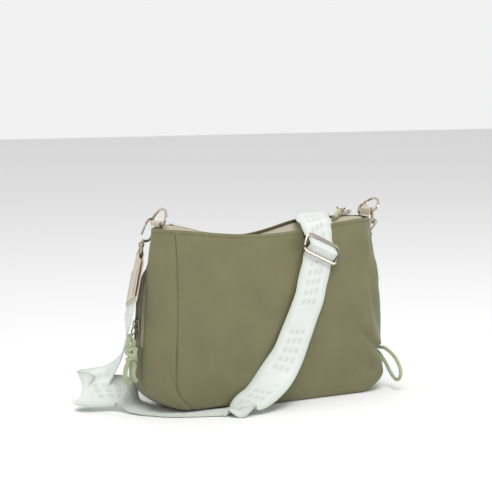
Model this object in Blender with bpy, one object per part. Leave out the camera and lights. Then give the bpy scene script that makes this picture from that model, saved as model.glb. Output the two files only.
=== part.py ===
"""Crossbody purse: a zipped fabric bag with a webbing shoulder strap, two snap clasps,
a side zip with a knotted cord pull and a drawcord loop.  Lengths in this file are in
millimetres and are turned into metres when a mesh is made.  X runs along the bag, the
panel with the strap on it faces -Y, and Z is up.  The origin is on the floor, under
the middle of the bag."""
import math

import bmesh
import bpy
from mathutils import Matrix, Vector

MM = 0.001
GAP = 0.3               # space left between parts that touch
FLOOR_GAP = 0.1         # lowest that a strip's edge may hang above the floor

# ---- bag shell ------------------------------------------------------------
HEIGHT = 182.0          # top corners of the bag
PANEL_T = 1.6           # outer fabric with its backing
LEFT_HALF = 141.5       # half length at the floor, left and right
RIGHT_HALF = 138.0
LEFT_TAPER = 9.6        # how much shorter each end is at the top
LEFT_TOP_TUCK = 4.4     # further narrowing of the left end near its top
RIGHT_TAPER = 10.0
LEFT_CORNER_R = 36.0    # rounding of the lower corners, seen from the side
RIGHT_CORNER_R = 24.0
BACK_DEPTH = 38.0       # fullest depth of the -Y panel
FRONT_DEPTH = 42.0      # fullest depth of the +Y panel
TOP_DEPTH = 22.0        # half depth at the top edge
FULL_Z = 60.0           # height of the fullest depth
EDGE_R = 4.0            # rounding where the big panels turn under
SEAM_X = -115.0         # seam between the -Y panel and its left side panel
ROWS = (0.0, 0.5, 1.6, 4.0, 8.0, 13.0, 19.0, 26.0, 40.0, 60.0, 80.0, 100.0, 120.0, 140.0)
TOP_ROWS = (0.36, 0.7, 1.0)

# ---- top zip --------------------------------------------------------------
TRACK_R = 330.0         # the top zip follows this arc
TRACK_LOW = 166.5       # height of the arc's lowest point
COIL_HALF = 2.6         # half width of a zip coil
COIL_T = 2.0
TAPE_T = 0.9
ZIP_END_X = 109.0
COIL_END_X = 104.0
SLIDER_X = 103.0
# arch on a slider that carries its pull: distance along the slider, height
CROWN = ((-3.8, 0.2), (-3.8, 2.6), (-2.4, 3.9), (0, 4.3), (2.4, 3.9), (3.8, 2.6), (3.8, 0.2))

# ---- side zip in the left end ---------------------------------------------
SIDE_ZIP_LOW = 66.0
SIDE_ZIP_HIGH = 150.0
SIDE_SLIDER_Z = 88.0
END_NEAR_Y = -10.0      # near edge of the strip that holds the side zip
STRIP_WIDTH = 18.0
SEAM_GAP = 1.6          # opening of a seam whose two panels meet at an angle
STRIP_TURN = 50.0       # degrees that the strip turns away from the end by the top
SIDE_ZIP_W = 9.0        # the side zip's place across the strip

# ---- tabs, rings and clasps -----------------------------------------------
TAB_WIDTH = 16.0
TAB_BEND_R = 2.3
TAB_T = 1.4
TAB_LEFT_X = -117.0
TAB_RIGHT_X = 131.0
RING_Z = 185.5
RIGHT_RING_Z = 188.4
RING_HALF = 13.6
RING_WIRE = 1.4
HOOK_WIRE = 1.35
HOOK_HALF = 5.8
LOOP_WIRE = 1.25
LOOP_HALF = 8.5
LEATHER_T = 1.4
LEATHER_HALF = 17.8
NECK_HALF = 5.6
LEATHER_LEN = 48.0

# ---- strap ----------------------------------------------------------------
WEB_HALF = 17.5
WEB_T = 1.6
CORD_R = 2.35
DRAWCORD_R = 1.9


def smooth(t):
    t = min(1.0, max(0.0, t))
    return t * t * (3 - 2 * t)


def bump(x, centre, half):
    """A smooth hump, 1 at its centre and 0 beyond half."""
    t = (x - centre) / half
    return (1 - t * t) ** 2 if abs(t) < 1 else 0.0


# ---- materials -------------------------------------------------------------
COLOURS = {
    "olive_fabric": ((0.17, 0.155, 0.09), 0.85, 0.0),
    "lining_fabric": ((0.10, 0.095, 0.06), 0.9, 0.0),
    "zip_tape": ((0.50, 0.44, 0.34), 0.85, 0.0),
    "zip_coil": ((0.42, 0.38, 0.28), 0.5, 0.0),
    "nickel": ((0.62, 0.58, 0.50), 0.25, 1.0),
    "beige_leather": ((0.58, 0.50, 0.40), 0.6, 0.0),
    "webbing": ((0.80, 0.84, 0.78), 0.85, 0.0),
    "cord": ((0.42, 0.47, 0.26), 0.85, 0.0),
}


def material(slot):
    if slot in bpy.data.materials:
        return bpy.data.materials[slot]
    colour, rough, metallic = COLOURS[slot]
    mat = bpy.data.materials.new(slot)
    mat.use_nodes = True
    shader = mat.node_tree.nodes["Principled BSDF"]
    shader.inputs["Base Color"].default_value = (*colour, 1)
    shader.inputs["Roughness"].default_value = rough
    shader.inputs["Metallic"].default_value = metallic
    return mat


# ---- building helpers -------------------------------------------------------
def place(name, data, slot, pivot=(0, 0, 0)):
    """Make the object, with its origin at pivot."""
    pivot = Vector(pivot) * MM
    if isinstance(data, bpy.types.Mesh):
        data.transform(Matrix.Translation(-pivot))
    data.materials.append(material(slot))
    obj = bpy.data.objects.new(name, data)
    obj.location = pivot
    bpy.context.scene.collection.objects.link(obj)
    return obj


def closed_mesh(name, points, faces):
    mesh = bpy.data.meshes.new(name)
    bm = bmesh.new()
    verts = [bm.verts.new(Vector(p) * MM) for p in points]
    for face in faces:
        bm.faces.new([verts[i] for i in face])
    bmesh.ops.recalc_face_normals(bm, faces=bm.faces)
    bm.to_mesh(mesh)
    bm.free()
    mesh.shade_smooth()
    mesh.set_sharp_from_angle(angle=math.radians(40))
    return mesh


def slab(name, outer, inner, slot):
    """A sheet with thickness, from matching grids of points on its two sides."""
    m, n = len(outer), len(outer[0])
    points = [p for row in outer for p in row] + [p for row in inner for p in row]
    half = m * n
    faces = []
    for i in range(m - 1):
        for j in range(n - 1):
            a, b, c, d = i * n + j, (i + 1) * n + j, (i + 1) * n + j + 1, i * n + j + 1
            faces.append((a, b, c, d))
            faces.append((half + d, half + c, half + b, half + a))
    rim = [i * n for i in range(m)]
    rim += [(m - 1) * n + j for j in range(1, n)]
    rim += [i * n + n - 1 for i in range(m - 2, -1, -1)]
    rim += [j for j in range(n - 2, 0, -1)]
    for k, a in enumerate(rim):
        b = rim[(k + 1) % len(rim)]
        faces.append((b, a, half + a, half + b))
    return place(name, closed_mesh(name, points, faces), slot)


def curve_through(points, per_span):
    """Catmull-Rom points through a list of vectors of any length."""
    pts = [tuple(p) for p in points]
    ext = [pts[0]] + pts + [pts[-1]]
    out = []
    for i in range(1, len(ext) - 2):
        p0, p1, p2, p3 = ext[i - 1:i + 3]
        for k in range(per_span):
            t = k / per_span
            out.append(tuple(
                0.5 * (2 * b + (c - a) * t + (2 * a - 5 * b + 4 * c - d) * t * t
                       + (3 * b - a - 3 * c + d) * t ** 3)
                for a, b, c, d in zip(p0, p1, p2, p3)))
    out.append(pts[-1])
    return out


def ribbon(name, stations, thickness, slot, offset=0.0):
    """A flat strip.  A station is (centre, width direction, half width)."""
    centres = [Vector(s[0]) for s in stations]
    top, bottom = [], []
    for i, (centre, width, half) in enumerate(stations):
        ahead = centres[min(i + 1, len(centres) - 1)] - centres[max(i - 1, 0)]
        side = Vector(width)
        side = (side - ahead * side.dot(ahead) / ahead.length_squared).normalized()
        normal = side.cross(ahead).normalized()
        middle = centres[i] + normal * offset
        reach = abs(side.z) * half + abs(normal.z) * thickness / 2
        middle.z = max(middle.z, reach + FLOOR_GAP)
        edges = (middle - side * half, middle, middle + side * half)
        top.append([e + normal * thickness / 2 for e in edges])
        bottom.append([e - normal * thickness / 2 for e in edges])
    return slab(name, top, bottom, slot)


def tube(name, points, radius, slot, closed=False, resolution=2, scales=None, pivot=(0, 0, 0)):
    """A round wire or cord through points; scales thickens single points."""
    curve = bpy.data.curves.new(name, "CURVE")
    curve.dimensions = "3D"
    curve.bevel_depth = radius * MM
    curve.bevel_resolution = resolution
    curve.use_fill_caps = not closed
    spline = curve.splines.new("POLY")
    spline.points.add(len(points) - 1)
    for i, p in enumerate(points):
        spline.points[i].co = (*((Vector(p) - Vector(pivot)) * MM), 1)
        spline.points[i].radius = scales[i] if scales else 1.0
    spline.use_cyclic_u = closed
    return place(name, curve, slot, pivot)


def union(obj, other):
    """Join a hidden helper to obj."""
    other.hide_render = True
    other.display_type = "WIRE"
    mod = obj.modifiers.new("join_" + other.name, "BOOLEAN")
    mod.operation = "UNION"
    mod.object = other


def as_mesh(obj):
    """Turn a curve object into a mesh object of the same name."""
    depsgraph = bpy.context.evaluated_depsgraph_get()
    mesh = bpy.data.meshes.new_from_object(obj.evaluated_get(depsgraph))
    name, location = obj.name, obj.location.copy()
    bpy.data.objects.remove(obj)
    new = bpy.data.objects.new(name, mesh)
    new.location = location
    bpy.context.scene.collection.objects.link(new)
    return new


def block(name, centre, size, slot, pivot=None, bevel=0.8, turn=None):
    """A rounded block, turned about its centre by the matrix turn."""
    mesh = bpy.data.meshes.new(name)
    bm = bmesh.new()
    bmesh.ops.create_cube(bm, size=1)
    bmesh.ops.scale(bm, vec=Vector(size) * MM, verts=bm.verts)
    bmesh.ops.bevel(bm, geom=bm.edges[:], offset=bevel * MM, segments=2, affect="EDGES")
    if turn:
        bmesh.ops.transform(bm, matrix=turn.to_4x4(), verts=bm.verts)
    bmesh.ops.translate(bm, vec=Vector(centre) * MM, verts=bm.verts)
    bm.to_mesh(mesh)
    bm.free()
    return place(name, mesh, slot, centre if pivot is None else pivot)


# ---- the bag's outer shape ---------------------------------------------------
def corner_cut(z, radius):
    return radius - math.sqrt(radius * radius - (radius - z) ** 2) if z < radius else 0.0


def left_half(z):
    tuck = LEFT_TAPER * (z / HEIGHT) ** 1.3 + LEFT_TOP_TUCK * smooth((z - 130) / 52)
    return LEFT_HALF - tuck - corner_cut(z, LEFT_CORNER_R)


def right_half(z):
    pinch = 4 * math.exp(-((z - 42) / 9) ** 2) - 6 * math.exp(-((z - 17) / 15) ** 2)
    return RIGHT_HALF - RIGHT_TAPER * (z / HEIGHT) ** 1.2 - pinch - corner_cut(z, RIGHT_CORNER_R)


def depth(z, full):
    if z > FULL_Z:
        wide = full - (full - TOP_DEPTH) * ((z - FULL_Z) / (HEIGHT - FULL_Z)) ** 2
    else:
        wide = full - EDGE_R * ((FULL_Z - z) / FULL_Z) ** 2
    return wide - corner_cut(z, EDGE_R)


def seam_x(z):
    return SEAM_X + 20 * max(0.0, (32 - z) / 32) ** 2 + 6 * smooth((z - 50) / 132)


def near_edge_y(z):
    return END_NEAR_Y + 4 * smooth((z - 140) / 42)


def strip_dir(z):
    """Direction across the left end's strip, seen from above."""
    turn = math.radians(STRIP_TURN * smooth((z - 112) / 56))
    return math.sin(turn), math.cos(turn)


def strip_point(w, z, inward=0.0):
    """A point of the left end's strip, w from its near edge."""
    dx, dy = strip_dir(z)
    return Vector((-left_half(z) + w * dx + inward * dy, near_edge_y(z) + w * dy - inward * dx, z))


def row_heights(edge):
    low = ROWS[-1]
    return list(ROWS) + [low + t * (edge - low) for t in TOP_ROWS]


def near_top(x):
    return HEIGHT - 10 * bump(x, -8, 125)


def far_top(x):
    return HEIGHT - 15 * bump(x, -15, 85)


def lift(p):
    """The lower left corner stands a little off the floor, over the strap."""
    x, y, z = p
    rise = 3.2 * smooth((-40 - x) / 20) + 3.5 * smooth((-100 - x) / 25)
    rise *= smooth((26 - y) / 18) * max(0.0, 1 - z / 70) ** 2
    return Vector((x, y, z + rise))


def shell_sheet(name, place_at, edge, columns, slot, rows=None, thickness=PANEL_T):
    """A panel of the shell: place_at(u, z) gives its outer surface, u from 0 to 1."""
    outer, inner = [], []
    step = 0.01
    for i in range(columns + 1):
        u = i / columns
        heights = rows if rows else row_heights(edge(place_at(u, HEIGHT).x))
        line_out, line_in = [], []
        for z in heights:
            p = place_at(u, z)
            a, b = max(0, u - step), min(1, u + step)
            along = place_at(b, z) - place_at(a, z)
            up = place_at(u, z + 0.05) - place_at(u, max(0, z - 0.05))
            normal = along.cross(up).normalized()
            line_out.append(lift(p))
            line_in.append(lift(p - normal * thickness))
        outer.append(line_out)
        inner.append(line_in)
    return slab(name, outer, inner, slot)


def arc_point(centre, radii, angle):
    return centre[0] + radii[0] * math.cos(angle), centre[1] + radii[1] * math.sin(angle)


def make_back_panel():
    """From the left seam along the -Y face and round the right near corner."""
    def at(u, z):
        corner = 24.0
        y = -depth(z, BACK_DEPTH)
        x0, x1 = seam_x(z) + GAP, right_half(z) - corner
        if u < 0.7:
            return Vector((x0 + (x1 - x0) * u / 0.7, y, z))
        a = math.radians(-90 + 90 * (u - 0.7) / 0.3)
        x, y = arc_point((x1, -6), (corner, -y - 6), a)
        return Vector((x, y, z))
    shell_sheet("back_panel", at, near_top, 20, "olive_fabric")


def make_left_side_panel():
    """The near left corner, from the seam to the side zip's strip."""
    def at(u, z):
        x1, y0 = seam_x(z) - GAP, near_edge_y(z) - PANEL_T * strip_dir(z)[0]
        x0 = -left_half(z)
        a = math.radians(180 + 90 * u)
        x, y = arc_point((x1, y0), (x1 - x0, depth(z, BACK_DEPTH) + y0), a)
        return Vector((x, y, z))
    shell_sheet("left_side_panel", at, near_top, 6, "olive_fabric")


def make_left_far_side_panel():
    """The far left corner, from the side zip's strip to the front panel."""
    def at(u, z):
        start = strip_point(STRIP_WIDTH + SEAM_GAP, z)
        x1, y1 = -left_half(z) + 26, depth(z, FRONT_DEPTH)
        a = math.radians(90 * u)
        round_x, round_y = 0.15 * (1 - math.cos(a)) + 0.85 * u, 0.15 * math.sin(a) + 0.85 * u
        return Vector((start.x + (x1 - start.x) * round_x, start.y + (y1 - start.y) * round_y, z))
    shell_sheet("left_far_side_panel", lambda u, z: at(1 - u, z), far_top, 6, "olive_fabric")


def make_right_side_panel():
    """The right end and the far right corner."""
    def at(u, z):
        x0 = right_half(z)
        if u < 0.25:
            return Vector((x0, -6 + GAP + (12 - GAP) * u / 0.25, z))
        a = math.radians(90 * (u - 0.25) / 0.75)
        x, y = arc_point((x0 - 24, 6), (24, depth(z, FRONT_DEPTH) - 6), a)
        return Vector((x, y, z))
    shell_sheet("right_side_panel", at, far_top, 8, "olive_fabric")


def make_front_panel():
    """The +Y face."""
    def at(u, z):
        x0 = right_half(z) - 25.4
        x1 = -left_half(z) + 26 + SEAM_GAP + 4 * max(0.0, (20 - z) / 20)
        return Vector((x0 + (x1 - x0) * u, depth(z, FRONT_DEPTH), z))
    shell_sheet("front_panel", at, far_top, 12, "olive_fabric")


def make_left_end_strips():
    """Fabric strips above and below the side zip."""
    def at(u, z):
        return strip_point(STRIP_WIDTH + (GAP - STRIP_WIDTH) * u, z)
    spans = {
        "left_end_lower": [z for z in ROWS if z < SIDE_ZIP_LOW - 2] + [SIDE_ZIP_LOW - GAP],
        "left_end_upper": [SIDE_ZIP_HIGH + 1.0, 160.0, 171.0, HEIGHT],
    }
    for name, heights in spans.items():
        shell_sheet(name, at, near_top, 2, "olive_fabric", rows=heights)


def make_bottom_panel():
    """The flat base, inside the turned-under edges of the panels."""
    columns, rows, inset = 16, 6, 1.1
    outer, inner = [], []
    left, right = left_half(0), right_half(0)
    x0, x1 = -left + inset, right - inset
    near, far = depth(0, BACK_DEPTH) - inset, depth(0, FRONT_DEPTH) - inset
    for i in range(columns + 1):
        x = x0 + (x1 - x0) * i / columns
        near_y, far_y = -near, far
        if x > right - 24:
            t = (x - right + 24) / 24
            round_off = math.sqrt(max(0.0, 1 - t * t))
            near_y = -5 - (near - 5) * round_off
            far_y = 5 + (far - 5) * round_off
        if x < -left + 26:
            t = (-left + 26 - x) / 26
            far_y = far - inset - (far - 8 + inset) * t
        if x < seam_x(0):
            t = (seam_x(0) - x) / (seam_x(0) + left)
            near_y = END_NEAR_Y + inset - (near + END_NEAR_Y) * math.sqrt(max(0.0, 1 - t * t))
        low, high = [], []
        for j in range(rows + 1):
            y = near_y + (far_y - near_y) * j / rows
            low.append(lift((x, y, 0.0)))
            high.append(lift((x, y, PANEL_T)))
        outer.append(low)
        inner.append(high)
    slab("bottom_panel", outer, inner, "olive_fabric")


def make_main_lining():
    """An open-topped pouch that hangs inside the shell."""
    columns = 28
    floor = 12.0
    heights = (floor, 30.0, 60.0, 100.0, 140.0, 158.0)

    def ring(z, extra, columns=columns):
        left = left_half(z) - 14 - extra
        right = min(right_half(z), right_half(42)) - 9 - extra
        near, far = depth(z, BACK_DEPTH) - 5 - extra, depth(z, FRONT_DEPTH) - 15 - extra
        mid, half = (right - left) / 2, (left + right) / 2
        out = []
        for k in range(columns):
            a = 2 * math.pi * k / columns
            c, s = math.cos(a), math.sin(a)
            x = mid + half * math.copysign(abs(c) ** 0.7, c)
            y = (far if s > 0 else near) * math.copysign(abs(s) ** 0.7, s)
            out.append(Vector((x, y, z)))
        return out

    points, faces = [], []
    levels = [ring(z, 3 if z == floor else 0) for z in heights]
    levels += [ring(z, 1.0) for z in reversed(heights[1:])] + [ring(floor + 1, 5)]
    for level in levels:
        points += level
    for i in range(len(levels) - 1):
        for k in range(columns):
            a, b = i * columns + k, i * columns + (k + 1) % columns
            faces.append((a, b, b + columns, a + columns))
    faces.append(tuple(range(columns))[::-1])
    last = (len(levels) - 1) * columns
    faces.append(tuple(range(last, last + columns)))
    mesh = closed_mesh("main_lining", points, faces)
    place("main_lining", mesh, "lining_fabric")


def make_side_pocket():
    """A flat pouch behind the front panel, open towards the side zip."""
    length, wall = 165.0, 0.8
    y0, y1, z0, z1 = 28.2, 35.2, 50.0, 112.0

    def box(inset, start):
        a, b = start, start + length - inset
        c, d, e, f = y0 + inset, y1 - inset, z0 + inset, z1 - inset
        return [Vector(p) for p in ((a, c, e), (a, d, e), (a, d, f), (a, c, f),
                                    (b, c, e), (b, d, e), (b, d, f), (b, c, f))]
    points = box(0, -108.0) + box(wall, -108.0)
    faces = [(0, 4, 5, 1), (1, 5, 6, 2), (2, 6, 7, 3), (3, 7, 4, 0), (4, 7, 6, 5)]
    faces += [tuple(8 + i for i in reversed(f)) for f in faces]
    faces += [(0, 1, 9, 8), (1, 2, 10, 9), (2, 3, 11, 10), (3, 0, 8, 11)]
    place("side_pocket_lining", closed_mesh("side_pocket_lining", points, faces), "lining_fabric")


# ---- the two zips -------------------------------------------------------------
def track_z(x):
    """Height of the top zip: an arc, easing down to the tabs at both ends."""
    inside = min(abs(x), ZIP_END_X)
    z = TRACK_LOW + TRACK_R - math.sqrt(TRACK_R ** 2 - inside ** 2)
    return z - 4.6 * smooth((abs(x) - ZIP_END_X + 4) / 8)


def make_top_zip():
    columns = 22
    x1 = 121.0
    lips = {
        "top_tape_back": (-1, near_top, BACK_DEPTH, -120.0),
        "top_tape_front": (1, far_top, FRONT_DEPTH, -98.0),
    }
    for name, (side, edge, full, x0) in lips.items():
        top, under = [], []
        for i in range(columns + 1):
            x = x0 + (x1 - x0) * i / columns
            line = []
            lip_z = edge(x) - 4.0
            lip_y = depth(lip_z, full) - PANEL_T - GAP - 0.6
            corner = max(0.0, (abs(x + 1) - 100) / 20)
            lip_y = lip_y * (1 - 0.45 * corner * corner)
            inner_y = COIL_HALF + GAP
            for t in (0.0, 0.35, 0.7, 1.0):
                y = lip_y + (inner_y - lip_y) * t
                z = lip_z + (track_z(x) + COIL_T / 2 - lip_z) * smooth(t)
                line.append(Vector((x, side * y, z)))
            top.append(line)
            under.append([p - Vector((0, 0, TAPE_T)) for p in line])
        slab(name, top, under, "zip_tape")
    steps = 30
    top, under = [], []
    for i in range(steps + 1):
        x = -COIL_END_X + (COIL_END_X + SLIDER_X + 6) * i / steps
        z = TRACK_LOW + TRACK_R - math.sqrt(TRACK_R ** 2 - x * x)
        across = ((-COIL_HALF, 0.7, 0.4), (0, 0, 0), (COIL_HALF, 0.7, 0.4))
        top.append([Vector((x, y, z + COIL_T - drop)) for y, drop, rise in across])
        under.append([Vector((x, y, z + rise)) for y, drop, rise in across])
    slab("top_zip_coil", top, under, "zip_coil")


def make_top_slider():
    """Slider body with the crown that carries the pull ring."""
    centre = Vector((SLIDER_X, 0, track_z(SLIDER_X) + COIL_T + 0.45 + 0.9))
    tilt = math.asin(SLIDER_X / TRACK_R)
    turn = Matrix.Rotation(-tilt, 3, "Y")
    far_pivot = (0, 0, TRACK_LOW + TRACK_R)
    body = block("top_zip_slider", centre, (12.5, 8.4, 1.8), "nickel", far_pivot, 0.6, turn)
    crown = [centre + turn @ Vector((along, 0, out)) for along, out in CROWN]
    union(body, as_mesh(tube("top_crown", crown, 0.9, "nickel")))
    return centre, turn


def make_top_puller(centre, turn):
    """Wire ring in the slider's crown, with a short cord pull through it."""
    pivot = centre + turn @ Vector((-1.2, 0, 2.25))
    ring = []
    for k in range(20):
        a = 2 * math.pi * k / 20
        ring.append(pivot + Vector((-4.0 + 4.2 * math.cos(a), 3.6 * math.sin(a), 2.0 - 2.4 * math.cos(a))))
    tube("top_zip_puller", ring, 0.65, "nickel", closed=True, pivot=pivot)
    start = pivot + Vector((-7.0, -3.2, 1.2))
    pull = curve_through([start, start + Vector((-4, -2.2, -2.2)), start + Vector((-8.5, -4.6, -5.2)),
                          start + Vector((-11.5, -6.2, -6.4))], 3)
    pull[0] = tuple(start)
    tube("top_zip_cord_pull", pull, 2.2, "cord", resolution=3, pivot=pivot)


def make_side_zip():
    steps = 10
    spans = [SIDE_ZIP_LOW + (SIDE_ZIP_HIGH - SIDE_ZIP_LOW) * i / steps for i in range(steps + 1)]
    lips = {
        "side_tape_near": (GAP, SIDE_ZIP_W - COIL_HALF - GAP),
        "side_tape_far": (SIDE_ZIP_W + COIL_HALF + GAP, STRIP_WIDTH - GAP),
    }
    for name, edges in lips.items():
        outer = [[strip_point(w, z, 0.5) for w in edges] for z in spans]
        inner = [[strip_point(w, z, 0.5 + TAPE_T) for w in edges] for z in spans]
        slab(name, outer, inner, "zip_tape")
    profile = ((-COIL_HALF, 0.0, 1.3), (0, -0.7, 1.6), (COIL_HALF, 0.0, 1.3))
    outer = [[strip_point(SIDE_ZIP_W + w, z, high) for w, high, low in profile] for z in spans]
    inner = [[strip_point(SIDE_ZIP_W + w, z, low) for w, high, low in profile] for z in spans]
    slab("side_zip_coil", outer, inner, "zip_coil")


def make_side_slider():
    """Slider on the outside of the side zip, with a crown, a pull link, cords and a knot."""
    z = SIDE_SLIDER_Z
    rise = strip_point(SIDE_ZIP_W, z + 5) - strip_point(SIDE_ZIP_W, z - 5)
    turn = Matrix.Rotation(math.atan2(rise.x, rise.z), 3, "Y")
    centre = strip_point(SIDE_ZIP_W, z, -0.7 - 0.55 - 0.9)
    body = block("side_zip_slider", centre, (1.8, 8.4, 12.5), "nickel", centre, 0.6, turn)
    crown = [centre + turn @ Vector((-out, 0, along)) for along, out in CROWN]
    union(body, as_mesh(tube("side_crown", crown, 0.9, "nickel")))
    pivot = centre + turn @ Vector((-2.25, 0, -1.2))
    link = []
    for k in range(20):
        a = 2 * math.pi * k / 20
        link.append(pivot + Vector((-1.6 + 1.6 * math.cos(a), 3.4 * math.sin(a), -4.4 + 4.4 * math.cos(a))))
    tube("side_zip_puller", link, 0.65, "nickel", closed=True, pivot=pivot)
    return pivot


def make_side_cords(pivot):
    """Two cord loops through the pull link, gathered in a knot."""
    knot = Vector((-150.5, -7.8, 63.0))
    ring = pivot + Vector((-3.2, 0, -8.6))
    upper = [ring + Vector(p) for p in ((-1.4, -0.4, -2.6), (-2.4, -2.4, -4.6))]
    upper += [knot + Vector((0.4, 0.6, 8.0)), knot + Vector((0, 0, 5.2))]
    tube("side_pull_cord", curve_through(upper, 3), CORD_R, "cord", resolution=2, pivot=pivot)
    knot_mesh = bpy.data.meshes.new("side_pull_knot")
    bm = bmesh.new()
    bmesh.ops.create_uvsphere(bm, u_segments=14, v_segments=9, radius=1)
    bmesh.ops.scale(bm, vec=Vector((6.4, 6.4, 8.2)) * MM, verts=bm.verts)
    bmesh.ops.translate(bm, vec=(knot + Vector((0, 0, -3.5))) * MM, verts=bm.verts)
    bm.to_mesh(knot_mesh)
    bm.free()
    place("side_pull_knot", knot_mesh, "cord", pivot)
    lows = {
        "side_pull_loop_a": ((-3.0, -0.5, -12.0), (-6.2, -0.6, -17), (-6.0, -0.4, -26.0), (-3.6, 0.4, -32.5)),
        "side_pull_loop_b": ((1.2, -2.2, -12.2), (0.4, -2.8, -17), (0.6, -2.6, -24.0), (2.4, -2.0, -30.0)),
    }
    for name, offsets in lows.items():
        points = curve_through([knot + Vector(p) for p in offsets], 4)
        tube(name, points, CORD_R, "cord", resolution=2, pivot=pivot)


# ---- tabs, rings, clasps --------------------------------------------------------
def make_tab(name, x, ring_z, base_z=182.6):
    """Leather loop sewn into the bag's end, folded round the ring's bar."""
    r = TAB_BEND_R
    path = [(x - r, 0, base_z), (x - r, 0, ring_z)]
    for k in range(1, 8):
        a = math.pi - math.pi * k / 8
        path.append((x + r * math.cos(a), 0, ring_z + r * math.sin(a)))
    path += [(x + r, 0, ring_z), (x + r, 0, base_z)]
    ribbon(name, [(p, (0, 1, 0), TAB_WIDTH / 2) for p in path], TAB_T, "beige_leather")


def make_ring(name, x, z, lean_deg):
    """D-shaped wire ring, its bar in the tab; it leans by lean_deg towards +X."""
    rise = Vector((math.sin(math.radians(lean_deg)), 0, math.cos(math.radians(lean_deg))))
    bar = Vector((x, 0, z))
    flat = [(-RING_HALF, 1.6), (-RING_HALF + 0.5, 0.5), (-RING_HALF + 1.6, 0), (0, 0),
            (RING_HALF - 1.6, 0), (RING_HALF - 0.5, 0.5), (RING_HALF, 1.6)]
    for k in range(1, 16):
        a = math.pi * k / 16
        flat.append((RING_HALF * math.cos(a), 1.6 + RING_HALF * math.sin(a)))
    points = [bar + Vector((0, y, 0)) + rise * up for y, up in flat]
    tube(name, points, RING_WIRE, "nickel", closed=True, pivot=bar)


def make_clasp(side, swivel, ring_point, loop_centre, loop_width):
    """Snap hook from the swivel to the ring, its gate, and the wire loop that holds the strap."""
    swivel, ring_point = Vector(swivel), Vector(ring_point)
    v = (ring_point - swivel).normalized()
    length = (ring_point - swivel).length + RING_WIRE + 0.9 + HOOK_WIRE
    h = v.cross(Vector((0, 1, 0))).normalized()

    def at(across, along):
        return swivel + h * across + v * along
    w = HOOK_HALF
    path = [at(0, -3.4), at(0, -2.2), at(0, -2.1), at(0, 2.1), at(0, 2.2), at(0, 4.2)]
    path += [at(-2.6, 5.2), at(-w + 0.6, 7.6), at(-w, 11)]
    scales = [1.5, 1.5, 1.0, 1.0, 1.6, 1.6, 1.2, 1.0, 1.0]
    for k in range(0, 9):
        a = math.pi - math.pi * k / 8
        path.append(at(w * math.cos(a), length - w + w * math.sin(a)))
        scales.append(1.0)
    path.append(at(w, length - w - 3.5))
    scales.append(0.9)
    tube("clasp_hook_" + side, path, HOOK_WIRE, "nickel", scales=scales, pivot=swivel)
    foot, nose = at(w - 1.0, 8.2), at(w, length - w - 3.5 - HOOK_WIRE - 0.3 + 1.0)
    gate = [foot, foot.lerp(nose, 0.5), nose]
    tube("clasp_gate_" + side, gate, 1.0, "nickel", pivot=foot)

    loop_centre, loop_width = Vector(loop_centre), Vector(loop_width).normalized()
    down = loop_centre - swivel
    down = (down - loop_width * down.dot(loop_width)).normalized()
    collar_mesh = bpy.data.meshes.new("collar")
    bm = bmesh.new()
    sides = 12
    rings = [[], [], [], []]
    lateral = v.cross(h).normalized()
    for k in range(sides):
        a = 2 * math.pi * k / sides
        spoke = h * math.cos(a) + lateral * math.sin(a)
        for ring, (radius, along) in zip(rings, ((3.1, -1.6), (3.1, 1.6), (1.75, 1.6), (1.75, -1.6))):
            ring.append(bm.verts.new((swivel + spoke * radius + v * along) * MM))
    for i in range(4):
        for k in range(sides):
            a, b = rings[i], rings[(i + 1) % 4]
            bm.faces.new((a[k], a[(k + 1) % sides], b[(k + 1) % sides], b[k]))
    bmesh.ops.recalc_face_normals(bm, faces=bm.faces)
    bm.to_mesh(collar_mesh)
    bm.free()
    collar = place("clasp_loop_" + side, collar_mesh, "nickel")
    out = (loop_width - v * loop_width.dot(v)).normalized()
    wires = []
    for sign in (1, -1):
        wires.append([swivel + out * sign * 2.5, swivel + out * sign * 5.2 + down * 1.6,
                      loop_centre + loop_width * sign * (LOOP_HALF - 0.4) - down * 5.5,
                      loop_centre + loop_width * sign * LOOP_HALF - down * 2.5])
    bar = [loop_centre + loop_width * t for t in (LOOP_HALF - 1.2, -LOOP_HALF + 1.2)]
    path = wires[0] + bar + wires[1][::-1]
    union(collar, as_mesh(tube("loop_wire_" + side, path, LOOP_WIRE, "nickel")))


def make_leather(side, roll, down, top_width, low_width):
    stations = leather_stations(roll, down, top_width, low_width)
    ribbon("leather_end_" + side, stations, LEATHER_T, "beige_leather")


def leather_stations(roll, down, top_width, low_width):
    """Centre line of a strap end folded round the clasp's loop, from one free end to the other."""
    roll, down = Vector(roll), Vector(down).normalized()
    top_width, low_width = Vector(top_width), Vector(low_width)
    r = LOOP_WIRE + 0.45 + LEATHER_T / 2

    def width_at(s):
        return top_width.lerp(low_width, smooth(s / LEATHER_LEN)).normalized()

    def half_at(s):
        return NECK_HALF + (LEATHER_HALF - NECK_HALF) * smooth((s - 6) / 11)
    out = []
    reach = [LEATHER_LEN - LEATHER_LEN * k / 9 for k in range(9)]
    for s in reach:
        w = width_at(s)
        n = w.cross(down).normalized()
        layer = r - (r - 1.85) * smooth(s / 12)
        out.append((roll + down * s + n * layer, w, half_at(s)))
    w = width_at(0)
    n = w.cross(down).normalized()
    for k in range(0, 7):
        a = math.pi * k / 6
        out.append((roll + n * r * math.cos(a) - down * r * math.sin(a), w, NECK_HALF))
    for s in reversed(reach):
        w = width_at(s)
        n = w.cross(down).normalized()
        layer = r - (r - 1.85) * smooth(s / 12)
        out.append((roll + down * s - n * layer, w, half_at(s)))
    return out


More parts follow.
